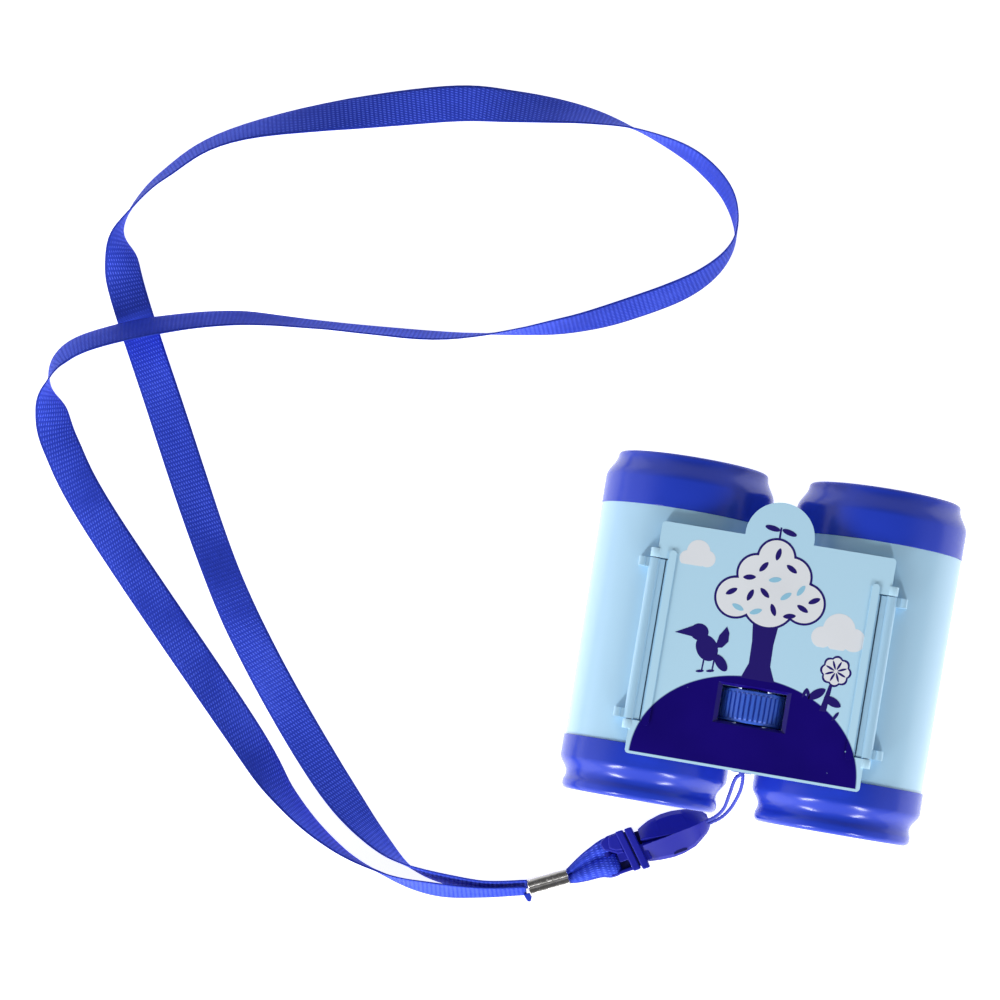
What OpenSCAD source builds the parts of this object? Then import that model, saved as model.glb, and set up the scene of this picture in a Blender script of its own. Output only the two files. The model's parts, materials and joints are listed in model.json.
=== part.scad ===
// Child's pocket binoculars with two hinges, lying flat, with a ribbon neck lanyard.
// +X is across the barrels, +Y towards the objectives, +Z up through the bridge plate.
// The origin is on the surface it lies on, under the middle of the binoculars.

/* [Barrels] */
// Outside diameter of the hoods, the widest part of a barrel
cap_d = 47.7; // [46:0.1:50]
// Outside diameter of the eyecups
eyecup_d = 47.1; // [46.2:0.1:47.6]
// Outside diameter of the light blue tubes at the hoods
tube_d = 47.4; // [46.4:0.1:47.6]
// Outside diameter of the light blue tubes at the eyecups
tube_rear_d = 46.1; // [45.8:0.1:47]
// Length of the light blue tubes
tube_len = 65.6; // [64:0.2:76]
// Wall of the tubes at the hoods
tube_wall = 2; // [1.9:0.1:2.2]
// Length of a hood or of an eyecup beyond the tube
cap_len = 15.1; // [14:0.1:18]
// Gap between the two barrels when they are folded together
barrel_gap = 6.6; // [6:0.2:8]
// Clear radius of the mouth of each hood
mouth_r = 18.5; // [17.5:0.1:19]

/* [Bridge] */
// Thickness of the bridge plate
plate_t = 2; // [1.6:0.1:2.4]
// Half width of the bridge plate
plate_half_w = 32.2; // [31:0.1:33]
// Front edge of the plate
plate_front = 28.6; // [26:0.1:30]
// Rear edge of the plate
plate_rear = -35.5; // [-37:0.1:-34]
// Radius of the round tab at the front of the plate
tab_r = 9.45; // [8:0.05:11]
// Size of the wheel window across the plate
window_w = 17.6; // [17:0.1:19]
// Size of the wheel window along the plate
window_l = 9.8; // [9.6:0.1:10.4]

/* [Focus] */
// Radius of the ribbed focus wheel
wheel_r = 10; // [9.6:0.1:10.2]
// Length of the focus wheel
wheel_len = 9; // [8:0.1:9.2]
// Ribs round the focus wheel
wheel_ribs = 40; // [36:1:48]
// Radius of the focus spindle
spindle_r = 2; // [1.8:0.1:2.2]

/* [Lanyard] */
// Width of the neck ribbon
ribbon_w = 10.8; // [10:0.2:12]
// Thickness of the neck ribbon
ribbon_t = 0.8; // [0.6:0.1:1]
// Diameter of the thin loop cord
cord_d = 1.1; // [0.9:0.1:1.3]

/* [Hidden] */

light_blue = "#b0d8ee";
royal_blue = "#2c3cbe";
wheel_blue = "#3c5fc8";
dark_blue = "#23289c";
steel = "#c8c8c8";
glass = "#dfeef5";

fine = 96;
eps = 0.01;
running = 0.05;
clearance = 0.3;

cap_r = cap_d / 2;
tube_r = tube_d / 2;
bore_r = tube_r - tube_wall;
barrel_x = cap_r + barrel_gap / 2;
barrel_z = cap_r;
tube_end = tube_len / 2;
cap_end = tube_end + cap_len;
plate_z = 2 * cap_r + clearance;
plate_top = plate_z + plate_t;

// Hinge axes, along Y at the plate's side edges
hinge_x = 32.6;
hinge_z = plate_z + plate_t / 2;
pin_r = 0.8;
knuckle_r = 1.5;
hinge_rear = -26.4;
hinge_front = 18.5;
ear_len = 2.5;
notch_x = 29.1;
foot_x = 37;
shelf_x = 29.8;
shelf_top = plate_z + 0.9;
end_play = 0.3;

// Raised rail beside each notch
rail_x = 27.9;
rail_w = 2;
rail_h = 0.6;
rail_front = hinge_front + 1.5;

// Focus drive
wheel_y = -17.7;
wheel_z = plate_top + 0.3 - wheel_r;
base_rear = -32.4;
base_front = 17;
base_low = 26;
spine_top = wheel_z - wheel_r - 0.7;
drive_rear = -23.4;
drive_front = 6;
bearing_len = 2.8;
clip_pocket = 2;
clip_r = 3.6;
clip_y = drive_front + bearing_len;
groove_r = spindle_r - 0.5;
spindle_end = clip_y + 1.4;
screw_ys = [-29, 13.6];
screw_r = 1.1;
head_r = 2.2;
head_h = 2;
boss_r = 2.4;
boss_h = 5;
lug_y = -33.8;
lug_z = 33.5;
lug_t = 2.5;
lug_hole_r = 1.25;

// Focus yoke: blades that follow an arc about each hinge axis, so the barrels can swing over them
travel = 2;
blade_y = -3;
blade_t = 1.4;
blade_in = 19.5;
blade_out = 24.5;
blade_from = 186;
blade_to = 230;
slot_play = 0.4;

// Lens carriers
carrier_r = bore_r - clearance;
carrier_core = 10.5;
carrier_neck = 9.4;
carrier_end = -43.5;
light_r = 7.4;
eye_r = 8.2;
eye_seat = -39.7;
eye_edge = 2.6;

// Hoods and objectives
spigot = 5;
pocket_r = mouth_r + 0.1;
lip_r = 17.2;
lip_y = cap_end - 8.4;
lip_t = 1.5;
lens_edge = 2;
lens_sag = 1.5;

// Buckle, in its own frame: +X runs from the ribbon to the tip by the binoculars
buckle_at = [-33.7, -65.1, 0.2];
buckle_turn = 28.6;
buckle_len = 30.6;
crimp_turn = 25.7;
crimp_at = [-54.5, -78, 0.2];
crimp_len = 12;
bar_at = [0.4, 0, 3.6];
bar_r = 1.3;

// Neck ribbon: x, y, roll (0 flat, 90 on edge), then gather (share of the full width) and lift
ribbon_route = [
    [-55, -78.9, 122, 0.42, 0.1], [-68, -81.6, 118, 0.6, 0], [-82, -82.8, 112, 0.95, 0],
    [-95.5, -81.3, 97, 1, 0], [-111, -75.8, 80, 1, 0], [-127.5, -64.5, 58, 1, 0],
    [-145, -46.5, 24, 1, 0], [-195.5, 5, 0, 1, 0], [-211, 25, 14, 1, 0], [-215.4, 34.8, 42, 1, 0],
    [-217.4, 42.6, 96, 1, 0], [-215.6, 50.4, 124, 1, 0], [-207, 56.8, 129, 1, 2],
    [-188.5, 64.2, 127, 1, 2.8], [-166.5, 70.1, 121, 1, 1], [-142, 72.2, 110, 1, 0],
    [-104, 75, 109, 1, 0], [-72, 83, 74, 1, 0], [-50, 93, 62, 1, 0], [-34, 103.5, 70, 1, 0],
    [-27, 115, 88, 1, 0], [-30, 127, 106, 1, 0], [-40.5, 136.5, 106, 1, 0], [-55, 142, 90, 1, 0],
    [-73, 145, 57, 1, 0], [-96, 145, 22, 1, 0], [-121, 142, 2, 1, 0], [-173.5, 125, 53, 1, 0],
    [-195, 108.5, 63, 1, 0], [-204.5, 92.5, 86, 1, 0], [-202.8, 81.4, 146, 1, 0],
    [-199.2, 71.5, 172, 1, 0], [-185.4, 45.7, 180, 1, 0], [-160, 0, 157, 1, 0],
    [-141.9, -26.8, 176, 1, 0], [-117, -56, 156, 1, 0], [-99, -72, 116, 1, 0],
    [-86, -78.3, 80, 0.98, 0], [-69, -79.6, 62, 0.6, 0], [-55, -76.9, 58, 0.42, 0.1]
];
ribbon_rings = 76;

// Loop cord: from the buckle tip up through the lug and back down
cord_route = [
    [-9.6, -51.7, 5.4], [-7.2, -50.3, 5.8], [-5, -48.6, 8.4], [-3.2, -46, 14.5], [-2.3, -42, 22.5],
    [-1.7, -38.6, 29.5], [-1.1, -36.9, 33], [-0.6, -36.5, 35], [-0.1, -35.8, 36.9], [0, -34.4, 37.3],
    [0, -33.8, 36], [0, -33.8, 34.5], [0.1, -34.2, 32.4], [0.4, -35.6, 30.6], [0.7, -37.6, 27.4],
    [0.4, -41, 21], [-1.2, -45.4, 12.6], [-3.4, -48.6, 7.2], [-6.2, -50.7, 4.6], [-9.2, -52.3, 4.2],
];
cord_rings = 30;

// Catmull-Rom curve through a list of points
function spline(p, t) =
    let (
        last = len(p) - 1,
        i = min(floor(t), last - 1),
        u = t - i,
        a = p[max(i - 1, 0)],
        b = p[i],
        c = p[i + 1],
        d = p[min(i + 2, last)]
    ) 0.5 * (2 * b + (c - a) * u + (2 * a - 5 * b + 4 * c - d) * u * u + (3 * b - a - 3 * c + d) * u * u * u);

function unit(v) = v / norm(v);
function full(p) = [p[0], p[1], p[2], len(p) > 3 ? p[3] : 1, len(p) > 4 ? p[4] : 0];

// One ring of the ribbon: a flat eight-sided section, rolled about the route
function ribbon_ring(route, t) =
    let (
        p = spline(route, t),
        step = 0.01,
        ahead = spline(route, min(t + step, len(route) - 1)) - spline(route, max(t - step, 0)),
        side = unit([-ahead[1], ahead[0], 0]),
        across = cos(p[2]) * side + [0, 0, sin(p[2])],
        through = -sin(p[2]) * side + [0, 0, cos(p[2])],
        half_w = p[3] * ribbon_w / 2,
        half_t = ribbon_t / 2,
        rise = half_t + 0.1 + (half_w - half_t) * abs(sin(p[2])) + p[4],
        bevel = half_t / 2
    ) [for (q = [
        [half_w, bevel], [half_w - bevel, half_t], [bevel - half_w, half_t], [-half_w, bevel],
        [-half_w, -bevel], [bevel - half_w, -half_t], [half_w - bevel, -half_t], [half_w, -bevel],
    ]) [p[0], p[1], rise] + q[0] * across + q[1] * through];

// One ring of a round cord
function cord_ring(route, t, r, sides) =
    let (
        p = spline(route, t),
        step = 0.01,
        ahead = unit(spline(route, min(t + step, len(route) - 1)) - spline(route, max(t - step, 0))),
        side = unit(cross([1, 0.2, 0], ahead)),
        up = cross(ahead, side)
    ) [for (i = [0:sides - 1]) p + r * (cos(360 * i / sides) * side + sin(360 * i / sides) * up)];

// Closed skin over a list of rings that all have the same number of points
module skin(rings) {
    n = len(rings[0]);
    last = len(rings) - 1;
    cells = [for (k = [0:last - 1], i = [0:n - 1]) [k * n + i, k * n + (i + 1) % n]];
    lower = [for (c = cells) [c[0], c[0] + n, c[1] + n]];
    upper = [for (c = cells) [c[0], c[1] + n, c[1]]];
    start = [[for (i = [0:n - 1]) i]];
    finish = [[for (i = [0:n - 1]) last * n + n - 1 - i]];
    polyhedron([for (r = rings) each r], concat(start, lower, upper, finish));
}

// Smooth step from one radius to another, as profile points
function ease(r0, r1, y0, y1, steps) =
    [for (i = [0:steps]) [r0 + (r1 - r0) * (1 - cos(180 * i / steps)) / 2, y0 + (y1 - y0) * i / steps]];
function arc(centre, r, from, to, steps) =
    [for (i = [0:steps]) let (a = from + (to - from) * i / steps) centre + r * [cos(a), sin(a)]];

// Turns a solid made along +Z so that it runs along +Y
module along_y(x, z) {
    translate([x, 0, z]) rotate([-90, 0, 0]) children();
}

module y_cylinder(x, z, r, y0, y1) {
    along_y(x, z) translate([0, 0, y0]) cylinder(r = r, h = y1 - y0, $fn = fine);
}

module barrel_turned(profile) {
    along_y(barrel_x, barrel_z) rotate_extrude($fn = fine) polygon(profile);
}

// The right side is drawn, and the left side is its mirror image
module on_side(side) {
    if (side == "left") mirror([1, 0, 0]) children();
    else children();
}

// Area swept by a blade about the right hinge axis, seen from the front
module blade_sector(inner, outer, from, to) {
    steps = 16;
    hinge = [hinge_x, hinge_z];
    polygon(concat(arc(hinge, outer, from, to, steps), arc(hinge, inner, to, from, steps)));
}

// Extrudes an outline drawn in X and Z along Y
module across_y(y0, y1) {
    translate([0, y1, 0]) rotate([90, 0, 0]) linear_extrude(y1 - y0) children();
}

module barrel_tube(side) {
    web_low = barrel_z + bore_r + 0.35;
    web_len = hinge_front - hinge_rear - 2 * end_play;
    slot_half = blade_t / 2 + travel + slot_play;
    color(light_blue) on_side(side) difference() {
        union() {
            along_y(barrel_x, barrel_z) translate([0, 0, -tube_end])
                cylinder(r1 = tube_rear_d / 2, r2 = tube_r, h = tube_len, $fn = fine);
            y_cylinder(hinge_x, hinge_z, knuckle_r, hinge_rear + end_play, hinge_front - end_play);
            translate([hinge_x - knuckle_r, hinge_rear + end_play, web_low])
                cube([2 * knuckle_r, web_len, hinge_z - web_low]);
            translate([shelf_x, hinge_rear + end_play, web_low])
                cube([hinge_x - shelf_x, web_len, shelf_top - web_low]);
            for (y = [hinge_rear + end_play, hinge_front - end_play - ear_len])
                hinge_foot(y, web_low);
        }
        barrel_space(-tube_end - eps, tube_end + eps);
        y_cylinder(hinge_x, hinge_z, pin_r + running, hinge_rear, hinge_front);
        across_y(blade_y - slot_half, blade_y + slot_half)
            blade_sector(blade_in - slot_play, blade_out + slot_play, 180, 245);
        wheel_space();
    }
}

module barrel_space(y0, y1) {
    y_cylinder(barrel_x, barrel_z, bore_r, y0, y1);
}

// Room for the focus wheel in the side of each tube
module wheel_space() {
    half_len = wheel_len / 2 + slot_play;
    y_cylinder(0, wheel_z, wheel_r + clearance, wheel_y - half_len, wheel_y + half_len);
}

// Wide foot at each end of the hinge knuckle
module hinge_foot(y, low) {
    foot_r = 1;
    foot_low = low - 0.6;
    inner_w = foot_x - foot_r - hinge_x + knuckle_r;
    translate([hinge_x - knuckle_r, y, foot_low]) cube([inner_w, ear_len, hinge_z + 0.3 - foot_low]);
    translate([hinge_x, y, foot_low]) cube([foot_x - hinge_x, ear_len, hinge_z - foot_low]);
    y_cylinder(foot_x - foot_r, hinge_z, foot_r - eps, y, y + ear_len);
}

module hinge_pin(side) {
    reach = ear_len - 0.5;
    color(steel) on_side(side) y_cylinder(hinge_x, hinge_z, pin_r, hinge_rear - reach, hinge_front + reach);
}

module hood(side) {
    nose_r = 21.3;
    corner = 1;
    outside = concat(
        [[bore_r, tube_end - spigot], [bore_r, tube_end], [cap_r, tube_end]],
        ease(cap_r, nose_r, cap_end - 7.5, cap_end - corner, 8),
        arc([nose_r - corner, cap_end - corner], corner, 15, 90, 5)
    );
    inside = [
        [mouth_r, cap_end], [mouth_r, lip_y + lip_t], [lip_r, lip_y + lip_t], [lip_r, lip_y],
        [pocket_r, lip_y], [pocket_r, tube_end - spigot],
    ];
    color(royal_blue) on_side(side) barrel_turned(concat(outside, inside));
}

// Half outline of a lens face from the axis to the edge, bulging by the sag or hollowed where it is negative
function lens_face(r, y, sag) = [for (i = [0:8]) let (t = i / 8) [r * t, y + sag * (1 - t * t)]];

// A round lens whose edge lies between two places along the barrel
module lens(r, rear, front, sag) {
    back = lens_face(r, rear, -sag);
    barrel_turned(concat(lens_face(r, front, sag), [for (i = [8:-1:0]) back[i]]));
}

module objective_lens(side) {
    front = lip_y - 0.25;
    color(glass, 0.5) on_side(side) lens(mouth_r, front - lens_edge, front, lens_sag);
}

module lens_ring(side) {
    ring_front = lip_y - lens_edge - 0.5;
    ring_len = 2.8;
    color(dark_blue) on_side(side) barrel_turned([
        [lip_r, ring_front], [pocket_r, ring_front],
        [pocket_r, ring_front - ring_len], [lip_r, ring_front - ring_len],
    ]);
}

module eyecup(side) {
    eyecup_r = eyecup_d / 2;
    waist_r = 21.7;
    rim_r = 22.3;
    corner = 1.2;
    outside = concat(
        [[bore_r, spigot - tube_end], [bore_r, -tube_end], [eyecup_r, -tube_end]],
        ease(eyecup_r, waist_r, 9.2 - cap_end, 4.8 - cap_end, 7),
        ease(waist_r, rim_r, 4.4 - cap_end, 1.9 - cap_end, 4),
        arc([rim_r - corner, corner - cap_end], corner, -10, -90, 5)
    );
    inside = [
        [17.5, -cap_end], [17, 0.8 - cap_end], [12.4, 5.6 - cap_end], [12, 6.4 - cap_end],
        [carrier_neck + clearance, 6.4 - cap_end], [carrier_neck + clearance, 8.6 - cap_end],
        [20, 8.6 - cap_end], [20, spigot - tube_end],
    ];
    color(royal_blue) on_side(side) barrel_turned(concat(outside, inside));
}

// Spool with a groove for the yoke's blade, and a neck that slides in the eyecup
module lens_carrier(side) {
    groove = blade_t / 2 + 0.2;
    flange = 2.4;
    front = blade_y + groove + flange;
    rear = blade_y - groove - flange;
    color(dark_blue) on_side(side) barrel_turned([
        [light_r, front], [carrier_r, front], [carrier_r, front - flange], [carrier_core, front - flange],
        [carrier_core, rear + flange], [carrier_r, rear + flange], [carrier_r, rear],
        [carrier_neck, rear - 2], [carrier_neck, carrier_end], [eye_r + 0.1, carrier_end],
        [eye_r + 0.1, eye_seat], [light_r, eye_seat],
    ]);
}

module eye_lens(side) {
    color(glass, 0.5) on_side(side) lens(eye_r, eye_seat - eye_edge, eye_seat, -0.8);
}

module eye_lens_ring(side) {
    front = eye_seat - eye_edge;
    color(dark_blue) on_side(side) barrel_turned([
        [light_r - 0.2, front], [eye_r + 0.1, front],
        [eye_r + 0.1, front - 0.9], [light_r - 0.2, front - 0.9],
    ]);
}

module rounded_rect(x0, y0, x1, y1, r) {
    translate([x0 + r, y0]) square([x1 - x0 - 2 * r, y1 - y0]);
    translate([x0, y0 + r]) square([x1 - x0, y1 - y0 - 2 * r]);
    for (x = [x0 + r, x1 - r], y = [y0 + r, y1 - r]) translate([x, y]) circle(r, $fn = 48);
}

module plate_outline() {
    notch_len = hinge_front - hinge_rear;
    difference() {
        union() {
            rounded_rect(-plate_half_w, plate_rear, plate_half_w, plate_front, 1);
            translate([0, plate_front + 0.75]) circle(tab_r, $fn = fine);
        }
        for (s = [-1, 1])
            translate([s * (notch_x + 4) - 4, hinge_rear]) square([8, notch_len]);
        translate([-window_w / 2, wheel_y - window_l / 2]) square([window_w, window_l]);
    }
}

// Shallow bevel that widens the wheel window upwards
module window_bevel() {
    bevel = 1.2;
    depth = 0.9;
    translate([0, wheel_y, plate_top + eps]) mirror([0, 0, 1])
        linear_extrude(depth, scale = [window_w / (window_w + 2 * bevel), window_l / (window_l + 1.4)])
            square([window_w + 2 * bevel, window_l + 1.4], center = true);
}

module plate_rail() {
    end_r = rail_w / 2;
    translate([rail_x - end_r, hinge_rear, plate_top - eps])
        cube([rail_w, rail_front - hinge_rear, rail_h + eps]);
    for (y = [hinge_rear, rail_front])
        translate([rail_x, y, plate_top - eps]) cylinder(r = end_r, h = rail_h + eps, $fn = 32);
}

module bridge_plate() {
    ears = [hinge_rear - ear_len, hinge_front];
    color(light_blue) difference() {
        union() {
            translate([0, 0, plate_z]) linear_extrude(plate_t) plate_outline();
            for (side = ["left", "right"]) on_side(side) {
                plate_rail();
                for (y = ears) {
                    y_cylinder(hinge_x, hinge_z, knuckle_r, y, y + ear_len);
                    translate([hinge_x - 2, y, plate_z]) cube([2, ear_len, plate_t]);
                }
            }
            for (y = screw_ys)
                translate([0, y, plate_z - boss_h]) cylinder(r = boss_r, h = boss_h + eps, $fn = 48);
        }
        window_bevel();
        for (side = ["left", "right"]) on_side(side)
            y_cylinder(hinge_x, hinge_z, pin_r, ears[0] + 0.5, ears[1] + ear_len - 0.5);
        for (y = screw_ys)
            translate([0, y, plate_z - boss_h - eps]) cylinder(r = screw_r, h = boss_h + eps, $fn = 48);
    }
}

// Keel that hangs between the barrels, bears the spindle and carries the strap lug
module bridge_base() {
    keel_half = 13;
    lug_half = 2.8;
    lug_rear = 1.8;
    color(royal_blue) difference() {
        union() {
            translate([-keel_half, base_rear, base_low])
                cube([2 * keel_half, base_front - base_rear, plate_z - base_low]);
            translate([-lug_half, lug_y - lug_rear, lug_z])
                cube([2 * lug_half, base_rear - lug_y + lug_rear + 1, lug_t]);
        }
        for (x = [-barrel_x, barrel_x])
            y_cylinder(x, barrel_z, cap_r + clearance, base_rear - 1, base_front + 1);
        translate([-keel_half - 1, drive_rear, spine_top])
            cube([2 * keel_half + 2, drive_front - drive_rear, plate_z - spine_top + 1]);
        y_cylinder(0, wheel_z, spindle_r + running, drive_rear - bearing_len, clip_y + eps);
        y_cylinder(0, wheel_z, clip_r + 0.6, clip_y, clip_y + clip_pocket);
        for (y = screw_ys) translate([0, y, 0]) {
            translate([0, 0, base_low - 1]) cylinder(r = head_r + 0.2, h = head_h + 1.4, $fn = 48);
            translate([0, 0, base_low]) cylinder(r = screw_r + 0.2, h = plate_z - base_low, $fn = 48);
            translate([0, 0, plate_z - boss_h - 0.1]) cylinder(r = boss_r + 0.1, h = boss_h + 1, $fn = 48);
        }
        translate([0, lug_y, lug_z - 1]) cylinder(r = lug_hole_r, h = lug_t + 2, $fn = 48);
    }
}

module bridge_screws() {
    head_z = base_low + 0.4;
    color(steel) for (y = screw_ys) translate([0, y, head_z]) {
        difference() {
            cylinder(r = head_r, h = head_h, $fn = 48);
            for (a = [0, 90]) rotate([0, 0, a]) translate([-1.4, -0.3, -eps]) cube([2.8, 0.6, 1]);
        }
        cylinder(r = screw_r, h = plate_z - 1 - head_z, $fn = 48);
    }
}

module focus_wheel() {
    rib = 0.35;
    steps = 6;
    count = wheel_ribs * steps;
    outline = [for (i = [0:count - 1])
        let (a = 360 * i / count) (wheel_r - rib / 2 + rib / 2 * cos(wheel_ribs * a)) * [cos(a), sin(a)]];
    color(wheel_blue) along_y(0, wheel_z) translate([0, 0, wheel_y - wheel_len / 2]) difference() {
        linear_extrude(wheel_len) polygon(outline);
        translate([0, 0, -1]) cylinder(r = spindle_r, h = wheel_len + 2, $fn = 48);
    }
}

module focus_spindle() {
    color(steel) difference() {
        y_cylinder(0, wheel_z, spindle_r, drive_rear - bearing_len + 0.2, spindle_end);
        difference() {
            y_cylinder(0, wheel_z, spindle_r + 1, clip_y + 0.2, clip_y + 1);
            y_cylinder(0, wheel_z, groove_r, clip_y, clip_y + 1.2);
        }
    }
}

// Open clip in the groove at the front end of the spindle
module spindle_clip() {
    color(steel) difference() {
        y_cylinder(0, wheel_z, clip_r, clip_y + 0.2, clip_y + 1);
        y_cylinder(0, wheel_z, groove_r, drive_front, spindle_end);
        translate([-1.2, drive_front, wheel_z - 5]) cube([2.4, 6, 5]);
    }
}

// Nut block on the spindle, with a blade into each barrel
module focus_yoke() {
    block_half = 4.5;
    block_low = wheel_z - 4.6;
    block_high = wheel_z + 4.6;
    arm_low = 41;
    arm_high = 45.5;
    arm_x = 9.3;
    half_t = blade_t / 2;
    color(dark_blue) difference() {
        union() {
            translate([-block_half, blade_y - 4, block_low])
                cube([2 * block_half, 8, block_high - block_low]);
            for (side = ["left", "right"]) on_side(side) across_y(blade_y - half_t, blade_y + half_t) {
                blade_sector(blade_in, blade_out, blade_from, blade_to);
                translate([0, arm_low]) square([arm_x, arm_high - arm_low]);
            }
        }
        y_cylinder(0, wheel_z, spindle_r + running, blade_y - 5, blade_y + 5);
    }
}

module buckle_frame() {
    translate(buckle_at) rotate([0, 0, buckle_turn]) children();
}

// Leaf half of the buckle: shoulders, a pointed oval body with a roof, and a snap tongue
module buckle_plug() {
    shoulder = [7, 9.2];
    shoulder_w = 12.4;
    shoulder_h = 6.6;
    neck_w = 6.8;
    tongue = [3.5, 7.6];
    tongue_w = 5.8;
    tongue_h = 3.6;
    leaf_w = 6.45;
    leaf_pull = 10.6;
    widest = 0.44;
    high = 7.2;
    base_z = 0.3;
    slit_at = 3.9;
    slit_w = 0.8;
    slit_len = 7.5;
    hole_r = 1.3;
    hole_deep = 3.4;
    roof = [[-7, 0], [-7, 3.4], [-3, 6.4], [1, high], [7, 4.6], [7, 0]];
    side = [for (i = [0:10]) let (t = i / 10) [
        shoulder[1] + t * (buckle_len - shoulder[1]),
        leaf_w - leaf_pull * (t - widest) * (t - widest),
    ]];
    outline = concat(side, [for (i = [10:-1:0]) [side[i][0], -side[i][1]]]);
    color(dark_blue) buckle_frame() difference() {
        union() {
            intersection() {
                linear_extrude(high) polygon(outline);
                rotate([90, 0, 90]) linear_extrude(buckle_len) polygon(roof);
            }
            buckle_block(shoulder[0], shoulder[1], shoulder_w, base_z, shoulder_h);
            buckle_block(shoulder[1] - eps, shoulder[1] + 2, neck_w, base_z, shoulder_h - 0.4);
            buckle_block(tongue[0], tongue[1], tongue_w, 1.8, tongue_h);
        }
        for (s = [-1, 1])
            translate([shoulder[1] + eps, s * slit_at - slit_w / 2, -1]) cube([slit_len, slit_w, high + 2]);
        translate([buckle_len - hole_deep, 0.8, 4.9]) rotate([0, 90, 0])
            cylinder(r = hole_r, h = hole_deep + 1, $fn = 32);
    }
}

// Block across the buckle between two places along it
module buckle_block(x0, x1, wide, z, high) {
    translate([x0, -wide / 2, z]) cube([x1 - x0, wide, high]);
}

// Receiver half of the buckle: collar with a pocket for the tongue, and a bar for the ribbon
module buckle_socket() {
    collar = [4.4, 6.6];
    collar_w = 13.6;
    collar_h = 7.6;
    body = [-1.4, 4.6];
    body_w = 13.2;
    slot = [[-2, -0.9], [1.69, 2.59]];
    slot_w = 11;
    bar_end = slot[1][1];
    color(dark_blue) buckle_frame() difference() {
        union() {
            buckle_block(collar[0], collar[1], collar_w, 0, collar_h);
            buckle_block(body[0], body[1], body_w, 0.4, 6.6);
        }
        buckle_block(3.2, collar[1] + 1, 6.4, 1.5, 4.2);
        for (x = slot) buckle_block(x[0], x[1], slot_w, -1, collar_h + 2);
        buckle_block(slot[0][0], bar_end, slot_w, bar_at[2] + bar_r, collar_h);
        buckle_block(slot[0][0], bar_end, slot_w, -1, 1 + bar_at[2] - bar_r);
    }
}

// Ribbon that runs from the crimp round the buckle's bar and back
module ribbon_loop() {
    reach = 13;
    turn = 33;
    inner = bar_r + 0.1;
    half_w = 6;
    fan = [[0, -2.2], [8, -5], [20, -5.2], [20, 5.2], [8, 5], [0, 2.2]];
    color(royal_blue) translate(crimp_mouth()) rotate([0, 0, turn]) intersection() {
        across_y(-half_w, half_w) difference() {
            loop_outline(reach, inner + ribbon_t);
            loop_outline(reach, inner);
        }
        linear_extrude(10) polygon(fan);
    }
}

module loop_outline(reach, r) {
    mouth_z = 2.4;
    pinch = 0.45;
    bend = arc([reach, bar_at[2]], r, 110, -110, 16);
    polygon(concat([[0, mouth_z - r * pinch], [0, mouth_z + r * pinch]], bend));
}

function crimp_mouth() = crimp_at + crimp_len * [cos(crimp_turn), sin(crimp_turn), 0];

// Folded metal crimp that joins the ribbon's two strands, with tooth marks along its top
module ribbon_crimp() {
    half_w = 2.75;
    lobe = 1.75;
    pocket = [3.8, 1.7];
    pocket_z = 0.6;
    teeth = 9;
    tooth_pitch = 1.1;
    color(steel) translate(crimp_at) rotate([90, 0, 90 + crimp_turn]) difference() {
        linear_extrude(crimp_len) {
            for (s = [-1, 1]) translate([s * (half_w - lobe), lobe]) circle(lobe, $fn = 40);
            translate([lobe - half_w, 0]) square([2 * (half_w - lobe), 2 * lobe - 0.5]);
        }
        translate([0, 0, -1]) linear_extrude(crimp_len + 2)
            translate([-pocket[0] / 2, pocket_z]) square(pocket);
        for (i = [0:teeth - 1])
            translate([-0.3, 2 * lobe - 0.8, 1.6 + tooth_pitch * i]) cube([0.6, 1, 0.4]);
    }
}

module neck_ribbon() {
    route = [for (p = ribbon_route) full(p)];
    last = len(route) - 1;
    step = last / (ribbon_rings - 1);
    color(royal_blue) skin([for (i = [0:ribbon_rings - 1]) ribbon_ring(route, i * step)]);
}

module loop_cord() {
    last = len(cord_route) - 1;
    sides = 8;
    step = last / (cord_rings - 1);
    color(royal_blue)
        skin([for (i = [0:cord_rings - 1]) cord_ring(cord_route, i * step, cord_d / 2, sides)]);
}

bridge_plate();
bridge_base();
bridge_screws();
focus_wheel();
focus_spindle();
spindle_clip();
focus_yoke();
barrel_tube("left");  // left_barrel_tube
hinge_pin("left");  // left_hinge_pin
hood("left");  // left_hood
objective_lens("left");  // left_objective_lens
lens_ring("left");  // left_lens_ring
eyecup("left");  // left_eyecup
lens_carrier("left");  // left_lens_carrier
eye_lens("left");  // left_eye_lens
eye_lens_ring("left");  // left_eye_lens_ring
barrel_tube("right");  // right_barrel_tube
hinge_pin("right");  // right_hinge_pin
hood("right");  // right_hood
objective_lens("right");  // right_objective_lens
lens_ring("right");  // right_lens_ring
eyecup("right");  // right_eyecup
lens_carrier("right");  // right_lens_carrier
eye_lens("right");  // right_eye_lens
eye_lens_ring("right");  // right_eye_lens_ring
loop_cord();
buckle_plug();
buckle_socket();
ribbon_loop();
ribbon_crimp();
neck_ribbon();
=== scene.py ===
import json
import math

import bmesh
import bpy
from mathutils import Matrix, Vector, noise


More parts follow.
